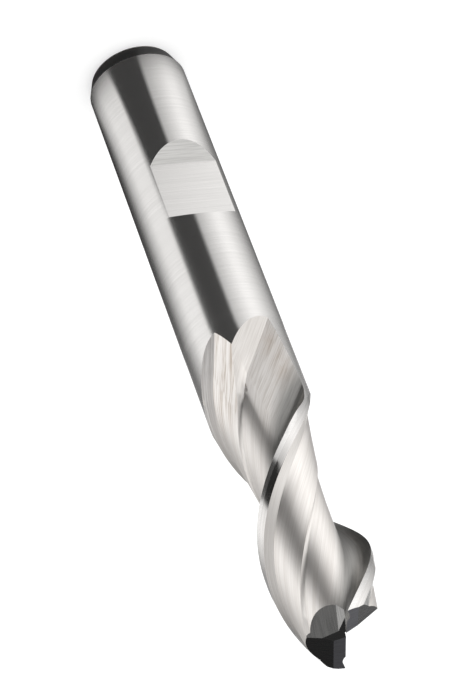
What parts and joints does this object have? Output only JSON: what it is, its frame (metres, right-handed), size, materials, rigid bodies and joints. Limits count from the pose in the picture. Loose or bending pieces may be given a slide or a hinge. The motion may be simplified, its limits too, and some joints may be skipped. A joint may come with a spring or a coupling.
{
  "type": "slot drill",
  "caption": "Solid cylindrical cutting tool with helical flutes, centre-cutting end teeth and a plain shank with a clamping flat.",
  "frame": {"origin": "centre of the shank's end face, which the tool stands on", "axes": "+Z along the tool's axis to the cutting end, -Y out of the clamping flat"},
  "size_m": [0.012, 0.012, 0.083],
  "materials": {
    "ground_steel": "bright ground high-speed steel, fine grinding grain"
  },
  "bodies": {
    "root": {"slot_drill": "ground_steel"}
  },
  "joints": []
}
